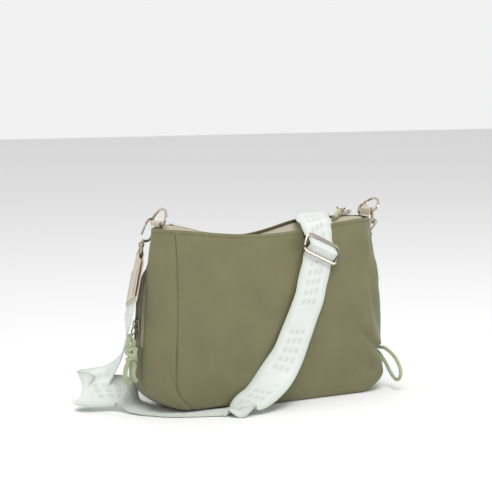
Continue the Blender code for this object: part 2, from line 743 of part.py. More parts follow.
LEFT_ROLL = (-131.0, 10.5, 152.5)
LEFT_DOWN = (-0.30, -0.20, -0.93)
LEFT_TOP_W = (-0.10, -0.85, 0.50)
LEFT_LOW_W = (-0.19, -0.93, 0.31)
RIGHT_ROLL = (146.0, 18.0, 162.0)
RIGHT_DOWN = (0.0, 0.14, -0.99)
RIGHT_TOP_W = (-0.45, -0.88, -0.12)
RIGHT_LOW_W = (-0.45, -0.88, -0.12)


# ---- strap -------------------------------------------------------------------------
# Each station: centre, then the direction from the lower or right edge to the upper or left edge.
STRAP = (
    ((-143.9, 1.9, 112.6), (0.19, 0.93, -0.31)),
    ((-145.6, 0.8, 107.4), (0.19, 0.93, -0.31)),
    ((-147.4, 1.6, 98), (0.24, 0.93, -0.26)),
    ((-145.6, 11.0, 87), (0.34, 0.92, -0.18)),
    ((-142.2, 19.0, 75), (0.43, 0.9, -0.06)),
    ((-141.5, 25, 62), (0.49, 0.87, 0)),
    ((-142, 32, 50), (0.5, 0.86, 0.08)),
    ((-146.5, 40, 38), (0.47, 0.8, 0.34)),
    ((-154, 46, 29.5), (0.42, 0.7, 0.55)),
    ((-163, 49, 25), (0.36, 0.62, 0.69)),
    ((-171.5, 48.5, 22.5), (0.33, 0.6, 0.73)),
    ((-178, 44, 21), (0.32, 0.6, 0.74)),
    ((-179.5, 37.5, 19.8), (0.32, 0.62, 0.72)),
    ((-177, 33.5, 19), (0.33, 0.62, 0.71)),
    ((-169.5, 31, 18.5), (0.33, 0.6, 0.73)),
    ((-155.8, 26.3, 19), (0.34, 0.54, 0.77)),
    ((-145, 19.5, 16.8), (0.42, 0.5, 0.76)),
    ((-139, 11.6, 6.2), (0.5, 0.83, 0.25)),
    ((-131.5, -2.4, 2.2), (0.6, 0.79, 0.04)),
    ((-122, -13, 1.4), (0.62, 0.785, 0)),
    ((-112.5, -23, 1.2), (0.6, 0.8, 0)),
    ((-96, -31, 1.2), (0.5, 0.87, 0)),
    ((-77, -38.5, 1.2), (0.4, 0.915, 0)),
    ((-65, -44.5, 1.3), (0.32, 0.95, 0)),
    ((-57, -57, 3.4), (0.25, 0.96, 0.1)),
    ((-49.8, -55, 8.6), (0.22, 0.93, 0.29)),
    ((-34, -53.5, 14.6), (0.12, 0.86, 0.5)),
    ((-17.5, -50.7, 26.5), (-0.12, 0.7, 0.7)),
    ((3.9, -45.2, 47.6), (-0.46, 0.25, 0.85)),
    ((16.8, -42.2, 70.4), (-0.75, 0.08, 0.65)),
    ((26, -41.2, 89.5), (-0.92, 0, 0.4)),
    ((34.2, -39.8, 106.5), (-0.93, 0, 0.37)),
    ((38.8, -37.8, 121), (-0.94, 0, 0.34)),
    ((44.2, -36.2, 136), (-0.92, 0, 0.4)),
    ((46.8, -35.2, 144.8), (-0.92, 0, 0.4)),
    ((49.6, -40.3, 153.1), (-0.92, 0, 0.4)),
    ((50.6, -40.3, 156.1), (-0.92, 0, 0.4)),
    ((51.5, -31, 164.8), (-0.92, 0, 0.38)),
    ((51.6, -27.2, 171.5), (-0.97, 0, 0.16)),
    ((51.8, -22.7, 179.4), (-0.99, 0.03, -0.06)),
    ((55.5, -12, 182.6), (-0.96, 0.27, -0.07)),
    ((64.5, 5, 184), (-0.87, 0.49, -0.06)),
    ((75, 20.5, 184.4), (-0.84, 0.54, -0.05)),
    ((80.5, 28.5, 184), (-0.84, 0.53, -0.05)),
    ((85, 36.5, 177), (-0.84, 0.52, -0.1)),
    ((89.5, 42.5, 160), (-0.8, 0.55, -0.2)),
    ((94, 50, 136), (-0.62, 0.72, -0.3)),
    ((102, 57, 112), (-0.4, 0.86, -0.3)),
    ((112, 60, 92), (-0.15, 0.97, -0.15)),
    ((124, 58, 83), (0.1, 0.98, 0.05)),
    ((135, 50, 84), (0.33, 0.92, 0.16)),
    ((143, 40, 92), (0.45, 0.88, 0.12)),
    ((146, 30.5, 103), (0.45, 0.88, 0.12)),
    ((146.2, 25.6, 113.4), (0.45, 0.88, 0.12)),
)


def make_strap():
    rows = [tuple(c) + tuple(w) for c, w in STRAP]
    rows = curve_through(rows, 3)
    ribbon("strap_webbing", [(r[:3], r[3:], WEB_HALF) for r in rows], WEB_T, "webbing")


BUCKLE_C = Vector((50.2, -37.6, 154.7))
BUCKLE_ACROSS = Vector((0.90, 0.0, -0.43))
BUCKLE_UP = Vector((0.40, 0.17, 0.90))
BUCKLE_HALF = 21.2
BUCKLE_RISE = 9.4
BUCKLE_WIRE = 1.5


def make_buckle():
    """Three-bar adjuster: an outer frame with rounded corners and a centre bar."""
    across = BUCKLE_ACROSS.normalized()
    up = (BUCKLE_UP - across * BUCKLE_UP.dot(across)).normalized()
    corner = 5.0
    points = []
    for sx, sy, start in ((1, 1, 0), (-1, 1, 90), (-1, -1, 180), (1, -1, 270)):
        for k in range(4):
            a = math.radians(start + 30 * k)
            x = sx * (BUCKLE_HALF - corner) + corner * math.cos(a)
            y = sy * (BUCKLE_RISE - corner) + corner * math.sin(a)
            points.append(BUCKLE_C + across * x + up * y)
    tube("buckle_frame", points, BUCKLE_WIRE, "nickel", closed=True)
    inner = BUCKLE_HALF - BUCKLE_WIRE - GAP
    tube("buckle_bar", [BUCKLE_C - across * inner, BUCKLE_C, BUCKLE_C + across * inner], 1.2, "nickel")


def make_strap_fold():
    """The webbing's sewn end, doubled under the strap below the buckle."""
    rows = [tuple(c) + tuple(w) for c, w in STRAP[32:36]]
    rows = curve_through(rows, 4)[3:-3]
    stations = [(Vector(r[:3]) + Vector((0, -0.1, 0)), r[3:], WEB_HALF - 1.2) for r in rows]
    ribbon("strap_fold", stations, 1.2, "webbing", offset=WEB_T / 2 + 0.7 + GAP)


def make_drawcord():
    """Cord loop that comes out of the puckered pleat low on the right end."""
    route = ((134.2, -22.0, 43.8), (137.5, -27.5, 43.0), (140.6, -37.5, 36.6), (141.0, -45.5, 29.5),
             (140.6, -50.6, 21.5), (140.6, -48.0, 14.0), (141.0, -40.5, 12.2), (141.2, -31.0, 18.0),
             (140.4, -24.5, 26.0), (137.8, -20.0, 33.0), (135.2, -18.4, 37.4))
    tube("drawcord_loop", curve_through(route, 4), DRAWCORD_R, "cord", resolution=2)


def main():
    for obj in list(bpy.data.objects):
        bpy.data.objects.remove(obj)
    make_back_panel()
    make_left_side_panel()
    make_left_far_side_panel()
    make_right_side_panel()
    make_front_panel()
    make_left_end_strips()
    make_bottom_panel()
    make_main_lining()
    make_side_pocket()
    make_top_zip()
    make_top_puller(*make_top_slider())
    make_side_zip()
    make_side_cords(make_side_slider())
    make_tab("tab_left", TAB_LEFT_X, RING_Z)
    make_tab("tab_right", TAB_RIGHT_X, RIGHT_RING_Z)
    make_ring("ring_left", TAB_LEFT_X, RING_Z, 26)
    make_ring("ring_right", TAB_RIGHT_X, RIGHT_RING_Z, 42)
    make_clasp("left", (-129.5, 10.1, 164.5), (TAB_LEFT_X, 10.1, RING_Z), LEFT_ROLL, LEFT_TOP_W)
    make_clasp("right", (147.5, 11.0, 174.0), (TAB_RIGHT_X, 10.1, RIGHT_RING_Z), RIGHT_ROLL, RIGHT_TOP_W)
    make_leather("left", LEFT_ROLL, LEFT_DOWN, LEFT_TOP_W, LEFT_LOW_W)
    make_leather("right", RIGHT_ROLL, RIGHT_DOWN, RIGHT_TOP_W, RIGHT_LOW_W)
    make_strap()
    make_buckle()
    make_strap_fold()
    make_drawcord()


main()
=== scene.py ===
"""Looks of the crossbody purse: soft shell, seams, stitching, zips, webbing, cords and
metal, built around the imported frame.  Lengths are in millimetres and become metres
when a mesh is made.  X runs along the bag, the panel under the strap faces -Y, Z is up."""
import math

import bmesh
import bpy
from mathutils import Matrix, Vector, noise


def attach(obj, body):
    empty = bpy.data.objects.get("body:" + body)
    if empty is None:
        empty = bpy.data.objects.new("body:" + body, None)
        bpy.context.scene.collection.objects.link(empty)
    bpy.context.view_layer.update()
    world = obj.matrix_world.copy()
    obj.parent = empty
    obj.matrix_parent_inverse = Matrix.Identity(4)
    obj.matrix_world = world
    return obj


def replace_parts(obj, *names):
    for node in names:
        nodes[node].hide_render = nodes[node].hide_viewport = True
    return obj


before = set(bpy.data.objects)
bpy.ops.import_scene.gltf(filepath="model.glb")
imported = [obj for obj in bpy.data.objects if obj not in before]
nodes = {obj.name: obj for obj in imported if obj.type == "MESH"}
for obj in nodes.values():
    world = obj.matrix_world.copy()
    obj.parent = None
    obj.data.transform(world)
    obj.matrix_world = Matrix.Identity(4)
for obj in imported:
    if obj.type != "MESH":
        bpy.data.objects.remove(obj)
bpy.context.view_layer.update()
MM = 0.001
BODY = "bag"

# ---- bag shell, as in the design ------------------------------------------------
HEIGHT = 182.0          # top corners of the bag
LEFT_HALF = 141.5       # half length at the floor, left and right
RIGHT_HALF = 138.0
LEFT_TAPER = 9.6        # how much shorter each end is at the top
LEFT_TOP_TUCK = 4.4     # further narrowing of the left end near its top
RIGHT_TAPER = 10.0
LEFT_CORNER_R = 36.0    # rounding of the lower corners, seen from the side
RIGHT_CORNER_R = 24.0
BACK_DEPTH = 38.0       # fullest depth of the -Y panel
FRONT_DEPTH = 42.0      # fullest depth of the +Y panel
TOP_DEPTH = 22.0        # half depth at the top edge
FULL_Z = 60.0           # height of the fullest depth
EDGE_R = 4.0            # rounding where the big panels turn under
SEAM_X = -115.0         # seam between the -Y panel and its left side panel
RIGHT_TURN_R = 24.0     # how far the panels turn round the right end, seen from above
LEFT_TURN_R = 26.0
RIGHT_FLAT_Y = 6.0      # half width of the flat stretch in the middle of the right end
PANEL_SPLIT = 0.6       # space between two panels that share a seam
TRACK_R = 330.0         # the top zip follows this arc
TRACK_LOW = 166.5       # height of the arc's lowest point
COIL_END_X = 104.0
SLIDER_X = 103.0
SIDE_ZIP_LOW = 66.0
SIDE_ZIP_HIGH = 150.0
END_NEAR_Y = -10.0      # near edge of the strip that holds the side zip
STRIP_WIDTH = 18.0
STRIP_TURN = 50.0       # degrees that the strip turns away from the end by the top
SIDE_ZIP_W = 9.0        # the side zip's place across the strip
WEB_HALF = 17.5         # half width of the webbing

# ---- cloth -----------------------------------------------------------------------
PANEL_T = 1.4
ROLL = 1.1              # how far a panel's edge rolls in at a seam
ROLL_WIDTH = 2.2
U_STEP = 0.004          # steps across and up a panel that give its direction
Z_STEP = 0.05
RUN_Z = 80.0            # the weave's places across a panel are measured at this height


def smooth(t):
    """0 to 1 with soft ends."""
    t = min(1.0, max(0.0, t))
    return t * t * (3 - 2 * t)


def bump(x, centre, half):
    """1 at the centre, 0 from half away."""
    t = (x - centre) / half
    return (1 - t * t) ** 2 if abs(t) < 1 else 0.0


def corner_cut(z, radius):
    return radius - math.sqrt(radius * radius - (radius - z) ** 2) if z < radius else 0.0


def left_half(z):
    tuck = LEFT_TAPER * (z / HEIGHT) ** 1.3 + LEFT_TOP_TUCK * smooth((z - 130) / 52)
    return LEFT_HALF - tuck - corner_cut(z, LEFT_CORNER_R)


def right_half(z):
    pinch = 4 * math.exp(-((z - 42) / 9) ** 2) - 6 * math.exp(-((z - 17) / 15) ** 2)
    return RIGHT_HALF - RIGHT_TAPER * (z / HEIGHT) ** 1.2 - pinch - corner_cut(z, RIGHT_CORNER_R)


def depth(z, full):
    if z > FULL_Z:
        wide = full - (full - TOP_DEPTH) * ((z - FULL_Z) / (HEIGHT - FULL_Z)) ** 2
    else:
        wide = full - EDGE_R * ((FULL_Z - z) / FULL_Z) ** 2
    return wide - corner_cut(z, EDGE_R)


def seam_x(z):
    return SEAM_X + 20 * max(0.0, (32 - z) / 32) ** 2 + 6 * smooth((z - 50) / 132)


def near_edge_y(z):
    return END_NEAR_Y + 4 * smooth((z - 140) / 42)


def strip_dir(z):
    """Direction across the strip that holds the side zip."""
    turn = math.radians(STRIP_TURN * smooth((z - 112) / 56))
    return math.sin(turn), math.cos(turn)


def strip_point(w, z, inward=0.0):
    dx, dy = strip_dir(z)
    return Vector((-left_half(z) + w * dx + inward * dy, near_edge_y(z) + w * dy - inward * dx, z))


def near_top(x):
    return HEIGHT - 10 * bump(x, -8, 125)


def far_top(x):
    return HEIGHT - 15 * bump(x, -15, 85)


def lift(p):
    """Raise the foot of the left end, which stands off the floor."""
    x, y, z = p
    rise = 3.2 * smooth((-40 - x) / 20) + 3.5 * smooth((-100 - x) / 25)
    rise *= smooth((26 - y) / 18) * max(0.0, 1 - z / 70) ** 2
    return Vector((x, y, z + rise))


def back_at(u, z):
    y = -depth(z, BACK_DEPTH)
    x0, x1 = seam_x(z), right_half(z) - RIGHT_TURN_R
    if u < 0.7:
        return Vector((x0 + (x1 - x0) * u / 0.7, y, z))
    a = math.radians(-90 + 90 * (u - 0.7) / 0.3)
    return Vector((x1 + RIGHT_TURN_R * math.cos(a), -RIGHT_FLAT_Y + (-y - RIGHT_FLAT_Y) * math.sin(a), z))


def left_side_at(u, z):
    x1, y0 = seam_x(z), near_edge_y(z) - PANEL_T * strip_dir(z)[0]
    a = math.radians(180 + 90 * u)
    return Vector((x1 + (x1 + left_half(z)) * math.cos(a), y0 + (depth(z, BACK_DEPTH) + y0) * math.sin(a), z))


def left_far_at(u, z):
    start = strip_point(STRIP_WIDTH + PANEL_SPLIT, z)
    x1, y1 = -left_half(z) + LEFT_TURN_R, depth(z, FRONT_DEPTH)
    a = math.radians(90 * (1 - u))
    over, out = 0.85 * (1 - u) + 0.15 * (1 - math.cos(a)), 0.85 * (1 - u) + 0.15 * math.sin(a)
    return Vector((start.x + (x1 - start.x) * over, start.y + (y1 - start.y) * out, z))


def right_side_at(u, z):
    x0 = right_half(z)
    if u < 0.25:
        return Vector((x0, -RIGHT_FLAT_Y + 2 * RIGHT_FLAT_Y * u / 0.25, z))
    a = math.radians(90 * (u - 0.25) / 0.75)
    y = RIGHT_FLAT_Y + (depth(z, FRONT_DEPTH) - RIGHT_FLAT_Y) * math.sin(a)
    return Vector((x0 - RIGHT_TURN_R * (1 - math.cos(a)), y, z))


def front_at(u, z):
    x0 = right_half(z) - RIGHT_TURN_R - PANEL_SPLIT
    x1 = -left_half(z) + LEFT_TURN_R + PANEL_SPLIT
    return Vector((x0 + (x1 - x0) * u, depth(z, FRONT_DEPTH), z))


def end_strip_at(u, z):
    return strip_point(STRIP_WIDTH * (1 - u), z)


# ---- soft folds ------------------------------------------------------------------
# Each fold: start and end in (x, z), half width, height; a negative height is a hollow.
FOLDS = (
    ((-88, 164), (-48, 104), 15, 2.2),
    ((-70, 150), (-30, 92), 12, -1.5),
    ((-58, 172), (-14, 112), 14, 2.0),
    ((-24, 168), (14, 100), 17, 1.9),
    ((-6, 150), (30, 84), 11, -1.3),
    ((-92, 84), (-70, 18), 16, 1.4),
    ((106, 180), (122, 120), 6.5, 2.6),
    ((123, 178), (115, 134), 4.5, -2.4),
    ((121, 134), (134, 52), 5.5, 2.4),
    ((110, 124), (127, 60), 6, -2.4),
    ((92, 92), (129, 45), 9, 2.6),
    ((100, 66), (132, 38), 5, -2.8),
    ((104, 42), (136, 31), 6.5, 3.0),
    ((110, 22), (134, 25), 5, -1.8),
    ((118, 54), (136, 46), 3, 1.8),
    ((58, 146), (96, 174), 9, 1.6),
    ((74, 128), (104, 150), 8, -1.2),
    ((-108, 66), (-92, 12), 8, 1.5),
    ((84, 60), (60, 16), 14, 1.2),
)
SIDE_FOLDS = (
    ((-128, 172), (-123, 96), 5, 1.9),
    ((-119, 178), (-125, 128), 3.4, -1.6),
    ((-132, 110), (-129, 60), 5, 1.2),
    ((-135, 62), (-124, 18), 6, 2.0),
    ((-126, 56), (-113, 12), 4, -1.9),
    ((-118, 40), (-106, 8), 4, 1.4),
)


def ridge(x, z, fold):
    """How far one fold raises the cloth at (x, z)."""
    (ax, az), (bx, bz), width, height = fold
    dx, dz = bx - ax, bz - az
    t = ((x - ax) * dx + (z - az) * dz) / (dx * dx + dz * dz)
    near = min(1.0, max(0.0, t))
    off = math.hypot(x - ax - dx * near, z - az - dz * near)
    return height * math.exp(-(off / width) ** 2) * (0.35 + 0.65 * bump(near, 0.5, 0.75))


def soft(x, y, z, scale, shift):
    """Gentle unevenness, with waves of about the given size."""
    return noise.noise(Vector((x / scale + shift, y / scale, z / scale)))


def sway(p, folds):
    """How far the cloth stands out from its plain shape."""
    x, y, z = p
    out = sum(ridge(x, z, fold) for fold in folds)
    out += 1.5 * soft(x, y, z * 0.6, 42, 3.0) + 0.5 * soft(x, y, z * 0.5, 13, 9.0)
    calm_foot = 0.25 + 0.75 * smooth(z / 22)
    calm_top = 0.2 + 0.8 * smooth((HEIGHT - 6 - z) / 20)
    return out * calm_foot * calm_top


# ---- mesh helpers ---------------------------------------------------------------
SHARP_ANGLE = 50        # edges that turn by more degrees than this stay sharp


def link(name, mesh, mat):
    mesh.materials.append(mat)
    mesh.shade_smooth()
    mesh.set_sharp_from_angle(angle=math.radians(SHARP_ANGLE))
    obj = bpy.data.objects.new(name, mesh)
    bpy.context.scene.collection.objects.link(obj)
    return obj


def closed_grid(name, outer, inner, mat, uv):
    """A sheet with thickness; uv(i, j) gives texture places in millimetres."""
    m, n = len(outer), len(outer[0])
    points = [p for row in outer for p in row] + [p for row in inner for p in row]
    half = m * n
    places = [uv(i, j) for i in range(m) for j in range(n)] * 2
    faces = []
    for i in range(m - 1):
        for j in range(n - 1):
            a, b, c, d = i * n + j, (i + 1) * n + j, (i + 1) * n + j + 1, i * n + j + 1
            faces.append((a, b, c, d))
            faces.append((half + d, half + c, half + b, half + a))
    rim = [i * n for i in range(m)]
    rim += [(m - 1) * n + j for j in range(1, n)]
    rim += [i * n + n - 1 for i in range(m - 2, -1, -1)]
    rim += [j for j in range(n - 2, 0, -1)]
    for k, a in enumerate(rim):
        b = rim[(k + 1) % len(rim)]
        faces.append((b, a, half + a, half + b))
    return finish_mesh(name, points, faces, places, mat)


def finish_mesh(name, points, faces, places, mat, body=BODY):
    """Make the mesh in metres, with its normals facing out, and let it ride its body."""
    mesh = bpy.data.meshes.new(name)
    mesh.from_pydata([tuple(c * MM for c in p) for p in points], [], faces)
    layer = mesh.uv_layers.new(name="UVMap")
    for loop in mesh.loops:
        layer.data[loop.index].uv = places[loop.vertex_index]
    bm = bmesh.new()
    bm.from_mesh(mesh)
    bmesh.ops.recalc_face_normals(bm, faces=bm.faces)
    bm.to_mesh(mesh)
    bm.free()
    obj = link(name, mesh, mat)
    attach(obj, body)
    return obj


def curve_through(points, per_span, closed=False):
    """A smooth curve through points of any number of coordinates."""
    pts = [tuple(p) for p in points]
    ext = [pts[-1]] + pts + pts[:2] if closed else [pts[0]] + pts + [pts[-1]]
    out = []
    for i in range(1, len(ext) - 2):
        p0, p1, p2, p3 = ext[i - 1:i + 3]
        for k in range(per_span):
            t = k / per_span
            out.append(tuple(
                0.5 * (2 * b + (c - a) * t + (2 * a - 5 * b + 4 * c - d) * t * t
                       + (3 * b - a - 3 * c + d) * t ** 3)
                for a, b, c, d in zip(p0, p1, p2, p3)))
    if not closed:
        out.append(pts[-1])
    return out


def tube(name, points, radius, mat, body, closed=False, sides=18):
    """A round wire or cord as a mesh, with texture places in millimetres."""
    pts = [Vector(p) for p in points]
    count = len(pts)
    tangents = []
    for i in range(count):
        a = pts[(i + 1) % count] if closed else pts[min(i + 1, count - 1)]
        b = pts[(i - 1) % count] if closed else pts[max(i - 1, 0)]
        tangents.append((a - b).normalized())
    side = tangents[0].orthogonal().normalized()
    sides_at = []
    for i in range(count):
        if i:
            side = tangents[i - 1].rotation_difference(tangents[i]) @ side
        sides_at.append((side - tangents[i] * side.dot(tangents[i])).normalized())
    twist = 0.0
    if closed:
        last = tangents[-1].rotation_difference(tangents[0]) @ sides_at[-1]
        across = tangents[0].cross(sides_at[0])
        twist = math.atan2(last.dot(across), last.dot(sides_at[0]))
    verts, places, run = [], [], 0.0
    for i in range(count):
        if i:
            run += (pts[i] - pts[i - 1]).length
        other = tangents[i].cross(sides_at[i])
        for k in range(sides):
            a = 2 * math.pi * k / sides - twist * i / count
            verts.append(pts[i] + (sides_at[i] * math.cos(a) + other * math.sin(a)) * radius)
            places.append((run, 2 * math.pi * radius * k / sides))
    faces = []
    for i in range(count if closed else count - 1):
        a, b = i * sides, ((i + 1) % count) * sides
        for k in range(sides):
            faces.append((a + k, a + (k + 1) % sides, b + (k + 1) % sides, b + k))
    if not closed:
        faces.append(tuple(reversed(range(sides))))
        faces.append(tuple(range((count - 1) * sides, count * sides)))
    return finish_mesh(name, verts, faces, places, mat, body)


def rods(name, segments, radius, mat, sides=6):
    """Many short round pieces in one mesh, such as stitches, each thinner at its ends."""
    verts, faces, places = [], [], []
    for a, b in segments:
        a, b = Vector(a), Vector(b)
        run = (b - a).normalized()
        u = run.orthogonal().normalized()
        v = run.cross(u)
        base = len(verts)
        for centre, scale in ((a, 0.45), (a + (b - a) * 0.2, 1), (a + (b - a) * 0.8, 1), (b, 0.45)):
            for k in range(sides):
                t = 2 * math.pi * k / sides
                verts.append(centre + (u * math.cos(t) + v * math.sin(t)) * radius * scale)
                places.append((centre.dot(run), t))
        for i in range(3):
            for k in range(sides):
                p, q = base + i * sides, base + (i + 1) * sides
                faces.append((p + k, p + (k + 1) % sides, q + (k + 1) % sides, q + k))
        faces.append(tuple(base + k for k in reversed(range(sides))))
        faces.append(tuple(base + 3 * sides + k for k in range(sides)))
    return finish_mesh(name, verts, faces, places, mat)


# ---- materials -------------------------------------------------------------------
class Net:
    """Short names for building a node tree."""

    def __init__(self, name):
        self.mat = bpy.data.materials.new(name)
        self.mat.use_nodes = True
        self.tree = self.mat.node_tree
        self.shader = self.tree.nodes["Principled BSDF"]

    def node(self, kind, **values):
        n = self.tree.nodes.new(kind)
        for key, value in values.items():
            setattr(n, key, value)
        return n

    def set(self, name, value):
        if isinstance(value, (int, float)):
            self.shader.inputs[name].default_value = value
        elif isinstance(value, tuple):
            self.shader.inputs[name].default_value = (*value, 1)
        else:
            self.tree.links.new(value, self.shader.inputs[name])

    def plug(self, n, slot_name, value):
        if hasattr(value, "is_linked"):
            self.tree.links.new(value, n.inputs[slot_name])
        elif isinstance(value, tuple) and len(n.inputs[slot_name].default_value) == 4:
            n.inputs[slot_name].default_value = (*value, 1)
        else:
            n.inputs[slot_name].default_value = value

    def math(self, op, a, b=0.0, c=0.0):
        n = self.node("ShaderNodeMath", operation=op)
        for i, value in enumerate((a, b, c)):
            self.plug(n, i, value)
        return n.outputs[0]

    def uv(self):
        n = self.node("ShaderNodeSeparateXYZ")
        self.plug(n, 0, self.node("ShaderNodeUVMap", uv_map="UVMap").outputs[0])
        return n.outputs[0], n.outputs[1]

    def noise(self, scale, detail=3.0, flat=False):
        """Noise in the object's metres, or in texture millimetres where flat."""
        n = self.node("ShaderNodeTexNoise")
        source = self.node("ShaderNodeUVMap", uv_map="UVMap") if flat else self.node("ShaderNodeTexCoord")
        self.plug(n, "Vector", source.outputs[0] if flat else source.outputs["Object"])
        self.plug(n, "Scale", scale)
        self.plug(n, "Detail", detail)
        return n.outputs[0]

    def mix(self, t, a, b):
        n = self.node("ShaderNodeMix", data_type="RGBA")
        self.plug(n, 0, t)
        self.plug(n, 6, a)
        self.plug(n, 7, b)
        return n.outputs[2]

    def ramp(self, value, low, high):
        """0 at low to 1 at high, with soft ends."""
        n = self.node("ShaderNodeMapRange")
        n.interpolation_type = "SMOOTHSTEP"
        for i, v in enumerate((value, low, high, 0.0, 1.0)):
            self.plug(n, i, v)
        return n.outputs[0]

    def sine(self, value, period):
        return self.math("SINE", self.math("MULTIPLY", value, 2 * math.pi / period))

    def relief(self, height, distance, strength):
        n = self.node("ShaderNodeBump")
        self.plug(n, "Height", height)
        self.plug(n, "Distance", distance * MM)
        self.plug(n, "Strength", strength)
        self.set("Normal", n.outputs[0])


def fabric(name, colour, period, relief, rough, sheen=0.0, spread=0.12):
    """Woven cloth: fine over-and-under threads and soft colour change."""
    net = Net(name)
    u, v = net.uv()
    weave = net.math("MULTIPLY", net.sine(u, period), net.sine(v, period))
    cloud = net.noise(28.0, 4.0)
    grain = net.noise(1.6, 2.0, flat=True)
    dark = tuple(c * (1 - spread) for c in colour)
    light = tuple(min(1.0, c * (1 + spread)) for c in colour)
    base = net.mix(net.ramp(cloud, 0.3, 0.7), dark, light)
    threads = net.mix(net.ramp(net.math("ADD", weave, net.math("MULTIPLY", grain, 0.8)), -0.9, 1.3),
                      tuple(c * 0.86 for c in colour), tuple(c * 1.1 for c in colour))
    net.set("Base Color", net.mix(0.5, base, threads))
    net.set("Roughness", net.math("ADD", net.math("MULTIPLY", grain, 0.12), rough - 0.06))
    net.set("Sheen Weight", sheen)
    net.set("Sheen Roughness", 0.45)
    net.set("Specular IOR Level", 0.3)
    net.relief(net.math("ADD", weave, net.math("MULTIPLY", grain, 1.2)), relief, 0.7)
    return net.mat


def leather(name, colour):
    """Fine pebbled grain with soft colour change."""
    net = Net(name)
    grain = net.node("ShaderNodeTexVoronoi", feature="DISTANCE_TO_EDGE")
    net.plug(grain, "Vector", net.node("ShaderNodeTexCoord").outputs["Object"])
    net.plug(grain, "Scale", 1500.0)
    cloud = net.noise(90.0, 4.0)
    net.set("Base Color", net.mix(net.ramp(cloud, 0.3, 0.7), tuple(c * 0.92 for c in colour),
                                  tuple(min(1, c * 1.06) for c in colour)))
    net.set("Roughness", net.math("ADD", net.math("MULTIPLY", cloud, 0.2), 0.42))
    net.relief(net.math("ADD", grain.outputs[0], net.math("MULTIPLY", cloud, 0.5)), 0.12, 0.6)
    return net.mat


def metal(name, colour, rough, metallic=1.0):
    """Polished metal with faint wear, or the coils' hard plastic."""
    net = Net(name)
    wear = net.noise(260.0, 5.0)
    net.set("Base Color", net.mix(wear, tuple(c * 0.9 for c in colour), colour))
    net.set("Metallic", metallic)
    net.set("Roughness", net.math("ADD", net.math("MULTIPLY", wear, 0.12), rough - 0.04))
    return net.mat


BRAID_PITCH = 1.9


def cord_material(name, colour):
    """Braided cord: two crossing sets of strands, with painted shade in the gaps between them and soft random
    tone.
    """
    net = Net(name)
    u, v = net.uv()
    left = net.sine(net.math("ADD", u, v), BRAID_PITCH)
    right = net.sine(net.math("SUBTRACT", u, v), BRAID_PITCH)
    braid = net.math("MAXIMUM", left, right)
    cloud = net.noise(120.0, 4.0)
    # Painted shade: the colour goes down to 0.72 where neither strand stands up, in the gaps of the braid;
    # the cloud adds random tone.
    braid_shade_and_tone = net.math("ADD", braid, net.math("MULTIPLY", cloud, 0.8))
    net.set("Base Color", net.mix(net.ramp(braid_shade_and_tone, -0.4, 1.5), tuple(c * 0.72 for c in colour), colour))
    net.set("Roughness", 0.82)
    net.set("Sheen Weight", 0.3)
    net.relief(braid, 0.28, 0.8)
    return net.mat


RIB_PITCH = (1.5, 1.1)   # of the webbing's ribs, along it and across
BLOCK_PITCH = 10.5       # of the tonal blocks along the webbing
BLOCK_SLANT = 0.42
GROUP_PITCH = 74.0       # of the groups of blocks
BORDER_FROM = 14.2       # distance from the middle of the webbing


def webbing_material(name):
    """Pale webbing with greenish borders and a tonal woven pattern of slanted blocks."""
    net = Net(name)
    u, v = net.uv()
    side = net.math("ABSOLUTE", v)
    rib = net.math("MULTIPLY", net.sine(u, RIB_PITCH[0]), net.sine(v, RIB_PITCH[1]))
    slant = net.math("ADD", u, net.math("MULTIPLY", v, BLOCK_SLANT))
    blocks = net.ramp(net.sine(slant, BLOCK_PITCH), -0.35, 0.1)
    rows = net.ramp(net.math("COSINE", net.math("MULTIPLY", v, 1.05)), -0.75, -0.3)
    groups = net.ramp(net.sine(slant, GROUP_PITCH), -0.6, -0.45)
    inside = net.ramp(side, 9.6, 8.4)
    pattern = net.math("MULTIPLY", net.math("MULTIPLY", blocks, rows), net.math("MULTIPLY", groups, inside))
    cloud = net.noise(60.0, 4.0)
    pale = net.mix(cloud, (0.74, 0.79, 0.755), (0.86, 0.885, 0.865))
    toned = net.mix(net.math("MULTIPLY", pattern, 0.5), pale, (0.56, 0.62, 0.55))
    border = net.ramp(side, BORDER_FROM, BORDER_FROM + 1.4)
    line = net.math("MULTIPLY", net.ramp(side, 12.6, 13.1), net.ramp(side, 13.9, 13.4))
    edged = net.mix(net.math("MULTIPLY", border, 0.75), toned, (0.56, 0.66, 0.54))
    lined = net.mix(net.math("MULTIPLY", line, 0.45), edged, (0.50, 0.57, 0.50))
    threads = net.math("MULTIPLY", net.ramp(rib, 0.9, -0.9), 0.16)
    net.set("Base Color", net.mix(threads, lined, (0.55, 0.60, 0.56)))
    net.set("Roughness", 0.78)
    net.set("Sheen Weight", 0.25)
    height = net.math("ADD", rib, net.math("MULTIPLY", pattern, 1.4))
    net.relief(net.math("ADD", height, net.math("MULTIPLY", line, -1.5)), 0.16, 0.7)
    return net.mat


OLIVE = fabric("olive_cloth", (0.188, 0.178, 0.092), 0.62, 0.05, 0.6, 0.15)
LINING = fabric("lining_cloth", (0.10, 0.094, 0.06), 0.5, 0.04, 0.75)
TAPE = fabric("tape_cloth", (0.47, 0.43, 0.33), 0.9, 0.08, 0.8)
THREAD = fabric("thread", (0.075, 0.066, 0.035), 0.4, 0.03, 0.7)
TAPE_THREAD = fabric("tape_thread", (0.25, 0.21, 0.14), 0.4, 0.03, 0.7)
COIL = metal("coil_plastic", (0.42, 0.38, 0.30), 0.4, metallic=0.0)
NICKEL = metal("champagne_nickel", (0.60, 0.54, 0.45), 0.16)
LEATHER = leather("beige_leather_grain", (0.62, 0.545, 0.43))
CORD = cord_material("sage_cord", (0.50, 0.56, 0.34))
WEBBING = webbing_material("webbing_weave")


def dress(node, mat):
    """Give a carried-over design node its material."""
    data = nodes[node].data
    data.materials.clear()
    data.materials.append(mat)


